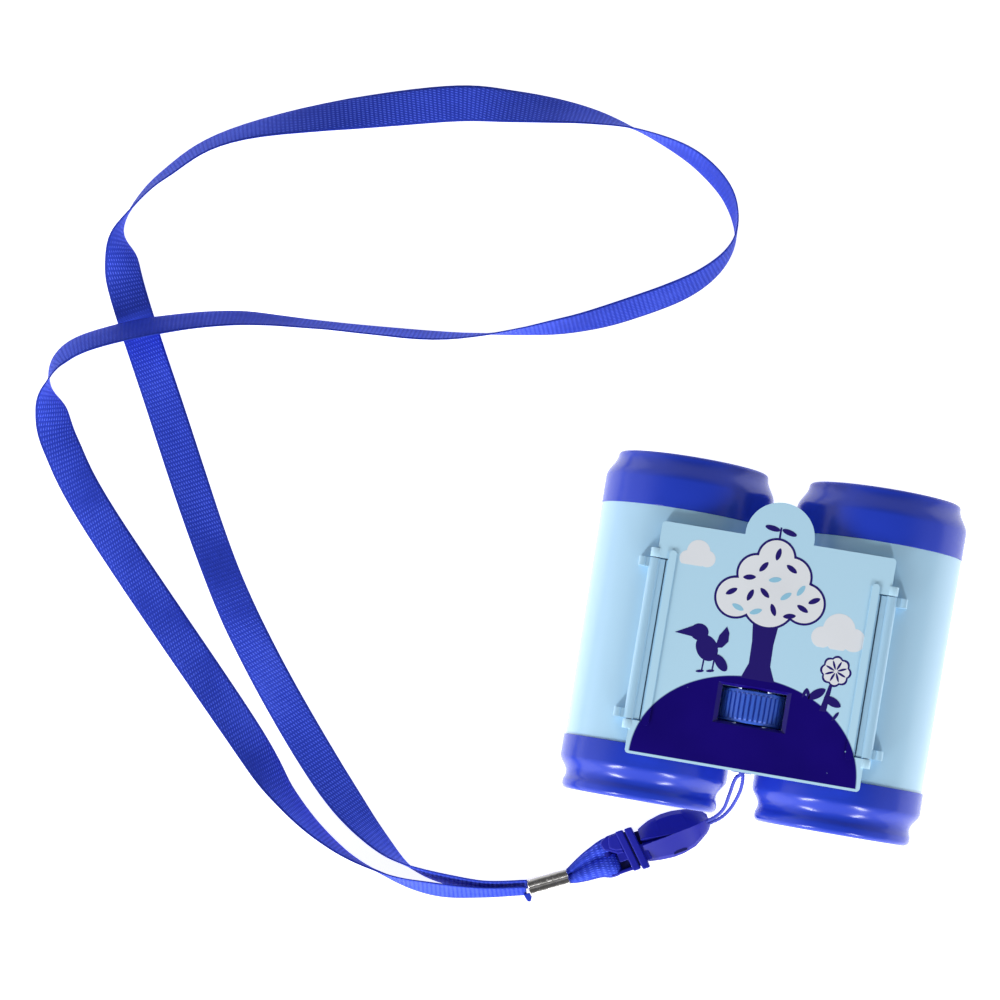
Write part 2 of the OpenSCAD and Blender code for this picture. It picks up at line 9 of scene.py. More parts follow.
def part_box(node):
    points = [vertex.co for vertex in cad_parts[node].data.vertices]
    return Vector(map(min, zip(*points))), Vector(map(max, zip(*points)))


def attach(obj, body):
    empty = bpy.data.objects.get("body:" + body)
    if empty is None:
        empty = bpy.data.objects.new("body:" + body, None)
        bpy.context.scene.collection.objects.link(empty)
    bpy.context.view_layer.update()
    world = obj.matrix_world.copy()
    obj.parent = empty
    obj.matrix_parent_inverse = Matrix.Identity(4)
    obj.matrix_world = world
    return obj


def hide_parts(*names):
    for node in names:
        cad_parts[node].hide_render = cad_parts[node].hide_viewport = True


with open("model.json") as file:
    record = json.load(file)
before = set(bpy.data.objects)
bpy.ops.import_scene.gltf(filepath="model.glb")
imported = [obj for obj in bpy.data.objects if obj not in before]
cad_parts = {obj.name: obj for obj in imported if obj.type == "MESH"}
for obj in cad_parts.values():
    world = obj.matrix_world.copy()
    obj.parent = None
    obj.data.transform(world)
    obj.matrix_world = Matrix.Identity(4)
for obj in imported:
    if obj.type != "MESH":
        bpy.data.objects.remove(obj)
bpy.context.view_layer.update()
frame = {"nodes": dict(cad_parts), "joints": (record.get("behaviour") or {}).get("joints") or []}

MM = 0.001
SIDES = ("left", "right")


# ---------------------------------------------------------------- places taken from the frame

TUBE_LOW, TUBE_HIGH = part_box("right_barrel_tube")
HOOD_LOW, HOOD_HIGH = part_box("right_hood")
EYE_LOW, EYE_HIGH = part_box("right_eyecup")
WHEEL_LOW, WHEEL_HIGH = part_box("focus_wheel")
BARREL_X = (HOOD_LOW.x + HOOD_HIGH.x) / 2
BARREL_Z = (HOOD_LOW.z + HOOD_HIGH.z) / 2
CAP_R = (HOOD_HIGH.x - HOOD_LOW.x) / 2
TUBE_R = (TUBE_HIGH.x - TUBE_LOW.x) / 2
TUBE_END = TUBE_HIGH.y
EYE_R = (EYE_HIGH.x - EYE_LOW.x) / 2
CAP_END = HOOD_HIGH.y
WHEEL = (WHEEL_LOW + WHEEL_HIGH) / 2
WHEEL_R = (WHEEL_HIGH.z - WHEEL_LOW.z) / 2
HINGE_Z = frame["joints"][1]["pos_m"][2]
PLATE_T = 2 * MM
PLATE_TOP = HINGE_Z + PLATE_T / 2


# ---------------------------------------------------------------- camera

def make_camera():
    eye = Vector((0.0008, -0.0414, 0.95))
    aim = Vector((-0.0816, 0.0307, 0.0))
    image_up = Vector((-0.169, 0.986, 0.0))
    forward = (aim - eye).normalized()
    right = forward.cross(image_up).normalized()
    up = right.cross(forward)
    data = bpy.data.cameras.new("camera")
    data.sensor_width = 36
    data.angle = math.radians(17.24)
    data.clip_start = 0.05
    camera = bpy.data.objects.new("camera", data)
    camera.matrix_world = Matrix((
        (right.x, up.x, -forward.x, eye.x),
        (right.y, up.y, -forward.y, eye.y),
        (right.z, up.z, -forward.z, eye.z),
        (0, 0, 0, 1),
    ))
    bpy.context.scene.collection.objects.link(camera)
    bpy.context.scene.camera = camera


# ---------------------------------------------------------------- mesh helpers

def add_mesh(name, verts, faces, material, smooth=True, uvs=None):
    """A mesh object from lists of points and faces; uvs is one pair for each point."""
    mesh = bpy.data.meshes.new(name)
    mesh.from_pydata([tuple(v) for v in verts], [], faces)
    mesh.validate()
    if uvs:
        layer = mesh.uv_layers.new(name="along")
        for loop in mesh.loops:
            layer.data[loop.index].uv = uvs[loop.vertex_index]
    bm = bmesh.new()
    bm.from_mesh(mesh)
    bmesh.ops.recalc_face_normals(bm, faces=bm.faces)
    bm.to_mesh(mesh)
    bm.free()
    mesh.polygons.foreach_set("use_smooth", [smooth] * len(mesh.polygons))
    mesh.materials.append(material)
    obj = bpy.data.objects.new(name, mesh)
    bpy.context.scene.collection.objects.link(obj)
    return obj


def arc(centre, radius, start, stop, steps):
    """Points on an arc, with its angles in degrees."""
    out = []
    for i in range(steps + 1):
        a = math.radians(start + (stop - start) * i / steps)
        out.append((centre[0] + radius * math.cos(a), centre[1] + radius * math.sin(a)))
    return out


def ease(r0, r1, y0, y1, steps):
    """Smooth step from one radius to another along the barrel."""
    return [(r0 + (r1 - r0) * (1 - math.cos(math.pi * i / steps)) / 2, y0 + (y1 - y0) * i / steps)
            for i in range(steps + 1)]


def lathe(name, profile, x, z, material, segments=160):
    """A solid turned about a line along Y: profile is a closed outline of (radius, y) points."""
    count = len(profile)
    verts = []
    faces = []
    for s in range(segments):
        a = 2 * math.pi * s / segments
        verts += [(x + r * math.cos(a), y, z + r * math.sin(a)) for r, y in profile]
    for s in range(segments):
        a, b = s * count, ((s + 1) % segments) * count
        faces += [(a + i, a + (i + 1) % count, b + (i + 1) % count, b + i) for i in range(count)]
    return add_mesh(name, verts, faces, material)


def grid_skin(name, rings, material, closed_ends=True, uvs=None):
    """A tube over a list of rings that all have the same number of points."""
    n = len(rings[0])
    verts = [p for ring in rings for p in ring]
    faces = []
    for k in range(len(rings) - 1):
        here, there = k * n, (k + 1) * n
        faces += [(here + i, here + (i + 1) % n, there + (i + 1) % n, there + i) for i in range(n)]
    if closed_ends:
        faces.append(tuple(range(n)))
        faces.append(tuple((len(rings) - 1) * n + i for i in range(n)))
    return add_mesh(name, verts, faces, material, uvs=uvs)


def spline(points, t):
    """Catmull-Rom curve through a list of points of any length; t counts the points."""
    last = len(points) - 1
    i = min(int(t), last - 1)
    u = t - i
    a, b, c, d = points[max(i - 1, 0)], points[i], points[i + 1], points[min(i + 2, last)]
    return [0.5 * (2 * q + (r - p) * u + (2 * p - 5 * q + 4 * r - s) * u * u
                   + (3 * q - p - 3 * r + s) * u ** 3)
            for p, q, r, s in zip(a, b, c, d)]


def round_edges(obj, width, segments=3, angle=32):
    """Moulded edges: welds the mesh, then rounds every edge sharper than the angle."""
    weld = obj.modifiers.new("weld", "WELD")
    weld.merge_threshold = 2e-6
    bevel = obj.modifiers.new("bevel", "BEVEL")
    bevel.width = width
    bevel.segments = segments
    bevel.limit_method = "ANGLE"
    bevel.angle_limit = math.radians(angle)
    bevel.harden_normals = True
    return obj


# ---------------------------------------------------------------- materials

def srgb(r, g, b):
    """Linear colour from 0 to 255 display values."""
    def one(c):
        c = c / 255
        return c / 12.92 if c <= 0.04045 else ((c + 0.055) / 1.055) ** 2.4
    return (one(r), one(g), one(b), 1.0)


class Shader:
    """A node material with short calls for its nodes and links."""

    def __init__(self, name):
        self.material = bpy.data.materials.new(name)
        self.material.use_nodes = True
        self.tree = self.material.node_tree
        self.bsdf = self.tree.nodes["Principled BSDF"]

    def node(self, kind, **values):
        made = self.tree.nodes.new(kind)
        for key, value in values.items():
            if key in made.inputs:
                made.inputs[key].default_value = value
            else:
                setattr(made, key, value)
        return made

    def link(self, out, into):
        self.tree.links.new(out, into)

    def set(self, **values):
        for key, value in values.items():
            self.bsdf.inputs[key.replace("_", " ")].default_value = value

    def coords(self, scale=1.0, kind="Object"):
        where = self.node("ShaderNodeTexCoord")
        mapping = self.node("ShaderNodeMapping")
        mapping.inputs["Scale"].default_value = scale if isinstance(scale, tuple) else (scale,) * 3
        self.link(where.outputs[kind], mapping.inputs["Vector"])
        return mapping.outputs["Vector"]

    def noise(self, coords, scale, detail=3.0, rough=0.5):
        made = self.node("ShaderNodeTexNoise", Scale=scale, Detail=detail, Roughness=rough)
        self.link(coords, made.inputs["Vector"])
        return made.outputs["Fac"]

    def ramp(self, value, stops):
        made = self.node("ShaderNodeValToRGB")
        ends = made.color_ramp.elements
        while len(ends) < len(stops):
            ends.new(0.5)
        for element, (place, colour) in zip(ends, stops):
            element.position = place
            element.color = colour
        self.link(value, made.inputs["Fac"])
        return made.outputs["Color"]

    def range(self, value, low, high, from_low=0.0, from_high=1.0):
        made = self.node("ShaderNodeMapRange")
        made.inputs["From Min"].default_value = from_low
        made.inputs["From Max"].default_value = from_high
        made.inputs["To Min"].default_value = low
        made.inputs["To Max"].default_value = high
        self.link(value, made.inputs["Value"])
        return made.outputs["Result"]

    def math(self, operation, a, b=None, clamp=False):
        made = self.node("ShaderNodeMath", operation=operation, use_clamp=clamp)
        for socket, value in zip(made.inputs, (a, b)):
            if value is None:
                continue
            if isinstance(value, (int, float)):
                socket.default_value = value
            else:
                self.link(value, socket)
        return made.outputs["Value"]

    def mix(self, factor, a, b):
        made = self.node("ShaderNodeMix", data_type="RGBA")
        self.link(factor, made.inputs["Factor"])
        for socket, value in ((made.inputs["A"], a), (made.inputs["B"], b)):
            if isinstance(value, tuple):
                socket.default_value = value
            else:
                self.link(value, socket)
        return made.outputs["Result"]

    def bump(self, height, strength, distance):
        made = self.node("ShaderNodeBump", Strength=strength, Distance=distance)
        self.link(height, made.inputs["Height"])
        self.link(made.outputs["Normal"], self.bsdf.inputs["Normal"])


def shades(colour, spread):
    """A darker and a lighter neighbour of a colour."""
    dark = tuple(c * (1 - spread) for c in colour[:3]) + (1.0,)
    light = tuple(min(1.0, c * (1 + spread)) for c in colour[:3]) + (1.0,)
    return dark, light


def moulded(name, colour, rough=(0.2, 0.3), spread=0.05, grain=0.02, grain_scale=900, gloss=0.5):
    """Moulded plastic: faint colour drift, flow marks in the gloss, and a fine surface grain."""
    s = Shader(name)
    dark, light = shades(colour, spread)
    where = s.coords()
    s.link(s.ramp(s.noise(where, 28, 2), [(0.35, dark), (0.65, light)]), s.bsdf.inputs["Base Color"])
    s.link(s.range(s.noise(where, 140, 4), rough[0], rough[1], 0.3, 0.7), s.bsdf.inputs["Roughness"])
    s.set(Coat_Weight=0.0, Coat_Roughness=0.12, IOR=1.5, Specular_IOR_Level=gloss)
    s.bump(s.noise(where, grain_scale, 3), grain, 0.0004)
    return s


def pale_plastic(name, colour):
    """Light blue plastic: smooth and even, with only a slow drift in its colour."""
    s = Shader(name)
    dark, light = shades(colour, 0.01)
    s.link(s.ramp(s.noise(s.coords(), 6, 1), [(0.3, dark), (0.7, light)]), s.bsdf.inputs["Base Color"])
    s.set(Roughness=0.28, Coat_Weight=0.1, Coat_Roughness=0.15, IOR=1.5)
    return s


def ellipse_mask(s, x, y, centre, size, power=2.0, soft=0.02):
    """1 inside a superellipse drawn in X and Y, with a narrow soft edge."""
    dx = s.math("ABSOLUTE", s.math("DIVIDE", s.math("SUBTRACT", x, centre[0]), size[0]))
    dy = s.math("ABSOLUTE", s.math("DIVIDE", s.math("SUBTRACT", y, centre[1]), size[1]))
    total = s.math("ADD", s.math("POWER", dx, power), s.math("POWER", dy, power))
    return s.range(total, 1.0, 0.0, 1 - soft, 1 + soft)


HILL_BASE = -34.8 * MM
HILL_TOP = -9.5 * MM
HILL_HALF = 31.1 * MM


def printed_plate():
    """Light blue plastic with a navy hill printed over the rear half and the window's bevel."""
    s = pale_plastic("plate_plastic", srgb(187, 227, 250))
    where = s.node("ShaderNodeTexCoord")
    split = s.node("ShaderNodeSeparateXYZ")
    s.link(where.outputs["Object"], split.inputs["Vector"])
    x, y, z = split.outputs
    soft = 0.05 * MM
    ink_depth = 1.15 * MM
    hill = ellipse_mask(s, x, y, (0, HILL_BASE), (HILL_HALF, HILL_TOP - HILL_BASE), power=2.05, soft=0.012)
    above = s.range(y, 0.0, 1.0, HILL_BASE - soft, HILL_BASE + soft)
    upper = s.range(z, 0.0, 1.0, PLATE_TOP - ink_depth - soft, PLATE_TOP - ink_depth + soft)
    wear = s.range(s.noise(s.coords(), 420, 2), 1.0, 0.0, 0.76, 0.77)
    mask = s.math("MULTIPLY", s.math("MULTIPLY", hill, above), s.math("MULTIPLY", upper, wear))
    ink = s.ramp(s.noise(s.coords(), 45, 2), [(0.3, srgb(17, 2, 104)), (0.7, srgb(24, 5, 120))])
    old = s.bsdf.inputs["Base Color"].links[0].from_socket
    s.link(s.mix(mask, old, ink), s.bsdf.inputs["Base Color"])
    s.link(s.range(mask, 0.5, 0.2), s.bsdf.inputs["Specular IOR Level"])
    return s.material


def print_ink(name, colour):
    s = Shader(name)
    dark, light = shades(colour, 0.03)
    s.link(s.ramp(s.noise(s.coords(), 40, 2), [(0.3, dark), (0.7, light)]), s.bsdf.inputs["Base Color"])
    s.set(Roughness=0.3, Coat_Weight=0.1, IOR=1.5)
    return s.material


def woven(name, colour):
    """Woven ribbon: rows across with short slanted glints painted into its colour as highlights, stronger in
    some stretches, with broad painted patches of light and shade, and plain edges.
    """
    rib, lane = 1.25 * MM, 0.74 * MM
    s = Shader(name)
    where = s.node("ShaderNodeUVMap", uv_map="along")
    split = s.node("ShaderNodeSeparateXYZ")
    s.link(where.outputs["UV"], split.inputs["Vector"])
    along, across = split.outputs[0], split.outputs[1]
    rows = s.math("SINE", s.math("MULTIPLY", along, 2 * math.pi / rib))
    slant = s.math("MULTIPLY", along, math.pi / rib)
    shift = s.math("ADD", s.math("MULTIPLY", across, 2 * math.pi / lane), slant)
    floats = s.math("MAXIMUM", s.math("ADD", rows, 0.65), 0.0)
    # painted highlight: a bright dash on each thread float, painted into the colour and also raised by the
    # bump
    painted_glint = s.math("MULTIPLY", floats, s.math("MAXIMUM", s.math("SINE", shift), 0.0))
    half = RIBBON_W / 2
    edge = s.range(s.math("ABSOLUTE", across), 0.0, 1.0, half - 0.8 * MM, half - 0.5 * MM)
    # painted light and shade: a slow noise lightens and darkens broad stretches of the ribbon and sets where
    # the painted glints are strong
    drift = s.noise(s.coords(), 34, 2)
    painted_glint_patch = s.range(drift, 0.2, 1.0, 0.36, 0.54)
    grain = s.noise(s.coords(), 600, 3)
    # painted highlight: the glints lighten the colour
    bright = s.math("MULTIPLY", s.math("MULTIPLY", painted_glint, painted_glint_patch), 0.95)
    tone = s.math("ADD", bright, s.math("MULTIPLY", rows, 0.01))
    tone = s.math("ADD", tone, s.math("MULTIPLY", s.math("SUBTRACT", grain, 0.5), 0.25))
    tone = s.math("ADD", tone, s.math("MULTIPLY", s.math("SUBTRACT", drift, 0.5), 0.9))
    dark, light = shades(colour, 0.3)
    # the lightest colour, far lighter than the ribbon's own, is the painted highlight colour of the glints
    light = (light[0] * 2.6, light[1] * 2.1, min(1.0, light[2] * 1.3), 1.0)
    shade = s.ramp(s.math("ADD", tone, 0.34), [(0.0, dark), (0.4, colour), (1.0, light)])
    selvedge = tuple(c * 0.72 for c in colour[:3]) + (1.0,)
    s.link(s.mix(edge, shade, selvedge), s.bsdf.inputs["Base Color"])
    s.set(Roughness=0.6, Specular_IOR_Level=0.08)
    s.bump(s.math("ADD", s.math("MULTIPLY", rows, 0.15), s.math("MULTIPLY", painted_glint, 1.6)), 0.5, 0.0001)
    return s.material


def metal(name, colour, rough=(0.16, 0.3), grain=0.06):
    s = Shader(name)
    where = s.coords()
    dark, light = shades(colour, 0.06)
    s.link(s.ramp(s.noise(where, 260, 3), [(0.3, dark), (0.7, light)]), s.bsdf.inputs["Base Color"])
    s.link(s.range(s.noise(where, 700, 4), rough[0], rough[1], 0.3, 0.7), s.bsdf.inputs["Roughness"])
    s.set(Metallic=1.0)
    s.bump(s.noise(where, 1500, 3), grain, 0.0003)
    return s.material


def lens_glass(name):
    """Clear lens with a faint blue coating, dulled a little by fine surface haze."""
    s = Shader(name)
    s.set(Base_Color=(0.86, 0.93, 0.98, 1), Transmission_Weight=0.92, IOR=1.49, Coat_Weight=0.5)
    s.set(Coat_Tint=srgb(190, 205, 255), Coat_Roughness=0.04)
    s.link(s.range(s.noise(s.coords(), 90, 3), 0.01, 0.05, 0.35, 0.65), s.bsdf.inputs["Roughness"])
    return s.material


RIBBON_W = 10.8 * MM
RIBBON_T = 0.8 * MM
CORD_D = 1.1 * MM

LIGHT_BLUE = pale_plastic("light_blue_plastic", srgb(170, 211, 238)).material
PRINTED = printed_plate()
ROYAL_BLUE = moulded("royal_blue_plastic", srgb(37, 63, 192), rough=(0.2, 0.24), spread=0.04,
                     grain=0.006, gloss=0.36).material
WHEEL_BLUE = moulded("wheel_plastic", srgb(60, 102, 212), rough=(0.36, 0.42), spread=0.04,
                     grain=0.01).material
DARK_BLUE = moulded("dark_blue_plastic", srgb(38, 42, 164), rough=(0.36, 0.42), spread=0.06,
                    grain=0.02, gloss=0.2).material
# painted shade: a much darker copy of the dark blue plastic, for the buckle's gaps, hollows and throat where
# only shade falls
PAINTED_SHADE_BLUE = moulded("painted_shade_blue", srgb(14, 18, 96), rough=(0.45, 0.5), spread=0.06,
                     grain=0.02).material
INNER_BLUE = moulded("inner_plastic", srgb(18, 20, 70), rough=(0.45, 0.6), spread=0.1,
                     grain=0.05).material
NAVY_INK = print_ink("navy_ink", srgb(34, 20, 112))
WHITE_INK = print_ink("white_ink", srgb(232, 236, 242))
SKY_INK = print_ink("sky_ink", srgb(150, 205, 232))
RIBBON = woven("ribbon_weave", srgb(49, 71, 203))
CORD = moulded("cord_thread", srgb(44, 60, 178), rough=(0.5, 0.6), spread=0.2,
               grain=0.3, grain_scale=2500).material
STEEL = metal("steel", srgb(196, 197, 200))
NICKEL = metal("nickel", srgb(216, 214, 212), rough=(0.2, 0.28), grain=0.02)
GLASS = lens_glass("lens_glass")


# ---------------------------------------------------------------- lanyard

# x, y, roll in degrees (0 flat, 90 on edge), share of the full width, lift
RIBBON_ROUTE = [
    (-0.055, -0.0789, 122, 0.42, 0.0001), (-0.068, -0.0816, 118, 0.6, 0),
    (-0.082, -0.0828, 112, 0.95, 0), (-0.0955, -0.0813, 97, 1, 0), (-0.111, -0.0758, 80, 1, 0),
    (-0.1275, -0.0645, 58, 1, 0), (-0.145, -0.0465, 24, 1, 0), (-0.1955, 0.005, 0, 1, 0),
    (-0.211, 0.025, 14, 1, 0), (-0.2154, 0.0348, 42, 1, 0), (-0.2174, 0.0426, 96, 1, 0),
    (-0.2156, 0.0504, 124, 1, 0), (-0.207, 0.0568, 129, 1, 0.002), (-0.1885, 0.0642, 127, 1, 0.0028),
    (-0.1665, 0.0701, 121, 1, 0.001), (-0.142, 0.0722, 110, 1, 0), (-0.104, 0.075, 109, 1, 0),
    (-0.072, 0.083, 74, 1, 0), (-0.05, 0.093, 62, 1, 0), (-0.034, 0.1035, 70, 1, 0),
    (-0.027, 0.115, 88, 1, 0), (-0.03, 0.127, 106, 1, 0), (-0.0405, 0.1365, 106, 1, 0),
    (-0.055, 0.142, 90, 1, 0), (-0.073, 0.145, 57, 1, 0), (-0.096, 0.145, 22, 1, 0),
    (-0.121, 0.142, 2, 1, 0), (-0.1735, 0.125, 53, 1, 0), (-0.195, 0.1085, 63, 1, 0),
    (-0.2045, 0.0925, 86, 1, 0), (-0.2028, 0.0814, 146, 1, 0), (-0.1992, 0.0715, 172, 1, 0),
    (-0.1854, 0.0457, 180, 1, 0), (-0.16, 0, 157, 1, 0), (-0.1419, -0.0268, 176, 1, 0),
    (-0.117, -0.056, 156, 1, 0), (-0.099, -0.072, 116, 1, 0), (-0.086, -0.0783, 80, 0.98, 0),
    (-0.069, -0.0796, 62, 0.6, 0), (-0.055, -0.0769, 58, 0.42, 0.0001),
]

CORD_ROUTE = [
    (-0.0096, -0.0517, 0.0054), (-0.0072, -0.0503, 0.0058), (-0.005, -0.0486, 0.0084),
    (-0.0032, -0.046, 0.0145), (-0.0023, -0.042, 0.0225), (-0.0017, -0.0386, 0.0295),
    (-0.0011, -0.0369, 0.033), (-0.0006, -0.0365, 0.035), (-0.0001, -0.0358, 0.0369),
    (0, -0.0344, 0.0373), (0, -0.0338, 0.036), (0, -0.0338, 0.0345), (0.0001, -0.0342, 0.0324),
    (0.0004, -0.0356, 0.0306), (0.0007, -0.0376, 0.0274), (0.0004, -0.041, 0.021),
    (-0.0012, -0.0454, 0.0126), (-0.0034, -0.0486, 0.0072), (-0.0062, -0.0507, 0.0046),
    (-0.0092, -0.0523, 0.0042),
]


def ribbon_frame(t):
    """Centre, across and through directions of the ribbon at t."""
    step = 0.01
    last = len(RIBBON_ROUTE) - 1
    p = spline(RIBBON_ROUTE, t)
    a, b = spline(RIBBON_ROUTE, max(t - step, 0)), spline(RIBBON_ROUTE, min(t + step, last))
    side = Vector((a[1] - b[1], b[0] - a[0], 0)).normalized()
    roll = math.radians(p[2])
    up = Vector((0, 0, 1))
    across = math.cos(roll) * side + math.sin(roll) * up
    through = -math.sin(roll) * side + math.cos(roll) * up
    half_w, half_t = p[3] * RIBBON_W / 2, RIBBON_T / 2
    rise = half_t + 0.1 * MM + (half_w - half_t) * abs(math.sin(roll)) + p[4]
    return Vector((p[0], p[1], rise)), across, through, half_w


def neck_ribbon():
    """Flat ribbon along the route: a little cupped, with thin edges and slight ripples."""
    columns = 12
    per_point = 9
    last = len(RIBBON_ROUTE) - 1
    rings, path, uvs = [], [], []
    total = 0.0
    for k in range(last * per_point + 1):
        centre, across, through, half_w = ribbon_frame(k / per_point)
        if path:
            total += (centre - path[-1]).length
        path.append(centre)
        ring, ring_uv = [], []
        thick = 0.27 * MM
        for face in (1, -1):
            for i in range(columns + 1):
                w = 1 - 2 * i / columns
                if face < 0:
                    w = -w
                cup = 0.25 * MM * (1 - w * w) * math.sin(total * 46)
                ripple = 0.12 * MM * noise.noise(Vector((total * 90, w * 1.5, 3.1)))
                edge = 1 - 0.55 * abs(w) ** 8
                ring.append(centre + across * (w * half_w) + through * (face * thick * edge + cup + ripple))
                ring_uv.append((total, w * RIBBON_W / 2))
        for point in ring:
            point.z = max(point.z, 0.06 * MM)
        rings.append(ring)
        uvs += ring_uv
    piece = grid_skin("neck_ribbon_weave", rings, RIBBON, uvs=uvs)
    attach(piece, "lanyard")
    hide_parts("neck_ribbon")
    return piece, path, total


def loop_cord():
    """Thin cord laid from two strands, so its outline turns round it."""
    sides, per_point = 10, 14
    last = len(CORD_ROUTE) - 1
    lay = 2 * math.pi / (1.5 * MM)
    rings, path = [], []
    total = 0.0
    for k in range(last * per_point + 1):
        t = k / per_point
        p = Vector(spline(CORD_ROUTE, t))
        a = Vector(spline(CORD_ROUTE, max(t - 0.01, 0)))
        b = Vector(spline(CORD_ROUTE, min(t + 0.01, last)))
        ahead = (b - a).normalized()
        side = Vector((1, 0.2, 0)).cross(ahead).normalized()
        up = ahead.cross(side)
        if path:
            total += (p - path[-1]).length
        path.append(p)
        ring = []
        for i in range(sides):
            turn = 2 * math.pi * i / sides
            r = CORD_D / 2 * (0.9 + 0.13 * math.cos(2 * turn - total * lay))
            ring.append(p + r * (math.cos(turn) * side + math.sin(turn) * up))
        rings.append(ring)
    piece = grid_skin("loop_cord_strands", rings, CORD)
    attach(piece, "bridge")
    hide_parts("loop_cord")
    return piece, path, total


make_camera()
ribbon_piece, ribbon_path, ribbon_total = neck_ribbon()
cord_piece, cord_path, cord_total = loop_cord()


# ---------------------------------------------------------------- barrels

def place_side(obj, side):
    """Mirrors a piece that is drawn on the right over to the left."""
    if side == "left":
        obj.data.transform(Matrix.Scale(-1, 4, Vector((1, 0, 0))))
        obj.data.flip_normals()
    return obj


BORE = TUBE_R - 2 * MM
SPIGOT = 5 * MM
SEAM = 0.04 * MM
SEAM_EDGE = 0.15 * MM
INNER_EDGE = 0.5 * MM


def hood(side):
    nose, mouth, lip, pocket = 21.3 * MM, 18.5 * MM, 17.2 * MM, 18.6 * MM
    corner = 1.0 * MM
    lip_y = CAP_END - 8.4 * MM
    start = TUBE_END + SEAM
    outside = [(BORE, TUBE_END - SPIGOT), (BORE, TUBE_END + SEAM / 2), (CAP_R - 2 * SEAM_EDGE, start)]
    outside += arc((CAP_R - SEAM_EDGE, start + SEAM_EDGE), SEAM_EDGE, -90, 0, 4)
    outside += ease(CAP_R, nose, CAP_END - 7.5 * MM, CAP_END - corner, 22)
    outside += arc((nose - corner, CAP_END - corner), corner, 8, 90, 9)
    lip_top = lip_y + 1.5 * MM
    edge = 0.1 * MM
    inside = arc((mouth + INNER_EDGE, CAP_END - INNER_EDGE), INNER_EDGE, 90, 180, 5)
    inside += [(mouth, lip_top + edge), (mouth - edge, lip_top), (lip + edge, lip_top), (lip, lip_top - edge)]
    inside += [(lip, lip_y), (pocket, lip_y), (pocket, TUBE_END - SPIGOT)]
    piece = lathe(side + "_hood_shell", outside + inside, BARREL_X, BARREL_Z, ROYAL_BLUE)
    return place_side(piece, side), side + "_hood", "royal_blue_plastic"


def eyecup(side):
    waist, rim = 21.3 * MM, 21.8 * MM
    corner = 1.6 * MM
    end = CAP_END
    start = -TUBE_END - SEAM
    outside = [(BORE, SPIGOT - TUBE_END), (BORE, -TUBE_END - SEAM / 2), (EYE_R - 2 * SEAM_EDGE, start)]
    outside += arc((EYE_R - SEAM_EDGE, start - SEAM_EDGE), SEAM_EDGE, 90, 0, 4)
    outside += ease(EYE_R, waist, 9.4 * MM - end, 4.6 * MM - end, 18)
    outside += ease(waist, rim, 4.3 * MM - end, 2.3 * MM - end, 9)
    outside += arc((rim - corner, corner - end), corner, -10, -90, 9)
    mouth, neck, pocket = 17.5 * MM, 9.7 * MM, 20 * MM
    shelf, back = 6.4 * MM - end, 8.6 * MM - end
    inside = [(mouth + INNER_EDGE, -end)]
    inside += arc((mouth, INNER_EDGE - end), INNER_EDGE * 0.99, -60, -160, 4)[1:]
    inside += ease(17 * MM, 12.4 * MM, 0.9 * MM - end, 5.6 * MM - end, 8)
    inside += [(12 * MM, shelf), (neck, shelf), (neck, back), (pocket, back), (pocket, SPIGOT - TUBE_END)]
    piece = lathe(side + "_eyecup_shell", outside + inside, BARREL_X, BARREL_Z, ROYAL_BLUE)
    return place_side(piece, side), side + "_eyecup", "royal_blue_plastic"


for side in SIDES:
    for maker in (hood, eyecup):
        piece, node, slot = maker(side)
        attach(piece, side + "_barrel")
        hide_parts(node)


# ---------------------------------------------------------------- focus wheel

def focus_wheel():
    """Ribbed wheel with a smooth rim at each end and rounded ribs between them."""
    ribs, per_rib = 44, 12
    count = ribs * per_rib
    half = (WHEEL_HIGH.y - WHEEL_LOW.y) / 2
    bore = 2.0 * MM
    rows = [(-half, bore, 0), (-half, WHEEL_R - 0.7 * MM, 0), (-half + 0.25 * MM, WHEEL_R - 0.32 * MM, 0),
            (-half + 0.75 * MM, WHEEL_R - 0.3 * MM, 0), (-half + 0.85 * MM, WHEEL_R - 0.35 * MM, 0.3),
            (-half + 1.15 * MM, WHEEL_R - 0.35 * MM, 1)]
    rows += [(-y, r, rib) for y, r, rib in reversed(rows)]
    verts, faces = [], []
    for i in range(count):
        a = 2 * math.pi * i / count
        crest = min(1.0, max(0.0, 1.9 * (math.cos(a * ribs) + 0.55)))
        for y, r, rib in rows:
            reach = r + rib * 0.35 * MM * (crest * 1.7 - 0.7)
            verts.append((WHEEL.x + reach * math.cos(a), WHEEL.y + y, WHEEL.z + reach * math.sin(a)))
    n = len(rows)
    for i in range(count):
        a, b = i * n, ((i + 1) % count) * n
        faces += [(a + k, a + (k + 1) % n, b + (k + 1) % n, b + k) for k in range(n)]
    piece = add_mesh("focus_wheel_ribs", verts, faces, WHEEL_BLUE)
    split = piece.modifiers.new("split", "EDGE_SPLIT")
    split.split_angle = math.radians(38)
    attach(piece, "focus")
    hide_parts("focus_wheel")


focus_wheel()


# ---------------------------------------------------------------- prints on the plate

def in_mm(outline):
    """The same outline, given in millimetres."""
    return [(x * MM, y * MM) for x, y in outline]


def prism(name, outline, low, high, material, place=None, edge=0.0):
    """A flat closed piece from an outline in X and Y between two heights."""
    n = len(outline)
    verts = [Vector((x, y, z)) for z in (low, high) for x, y in outline]
    if place:
        verts = [place @ v for v in verts]
    faces = [tuple(reversed(range(n))), tuple(range(n, 2 * n))]
    faces += [(i, (i + 1) % n, n + (i + 1) % n, n + i) for i in range(n)]
    piece = add_mesh(name, verts, faces, material, smooth=bool(edge))
    if edge:
        round_edges(piece, edge, segments=3)
    return piece


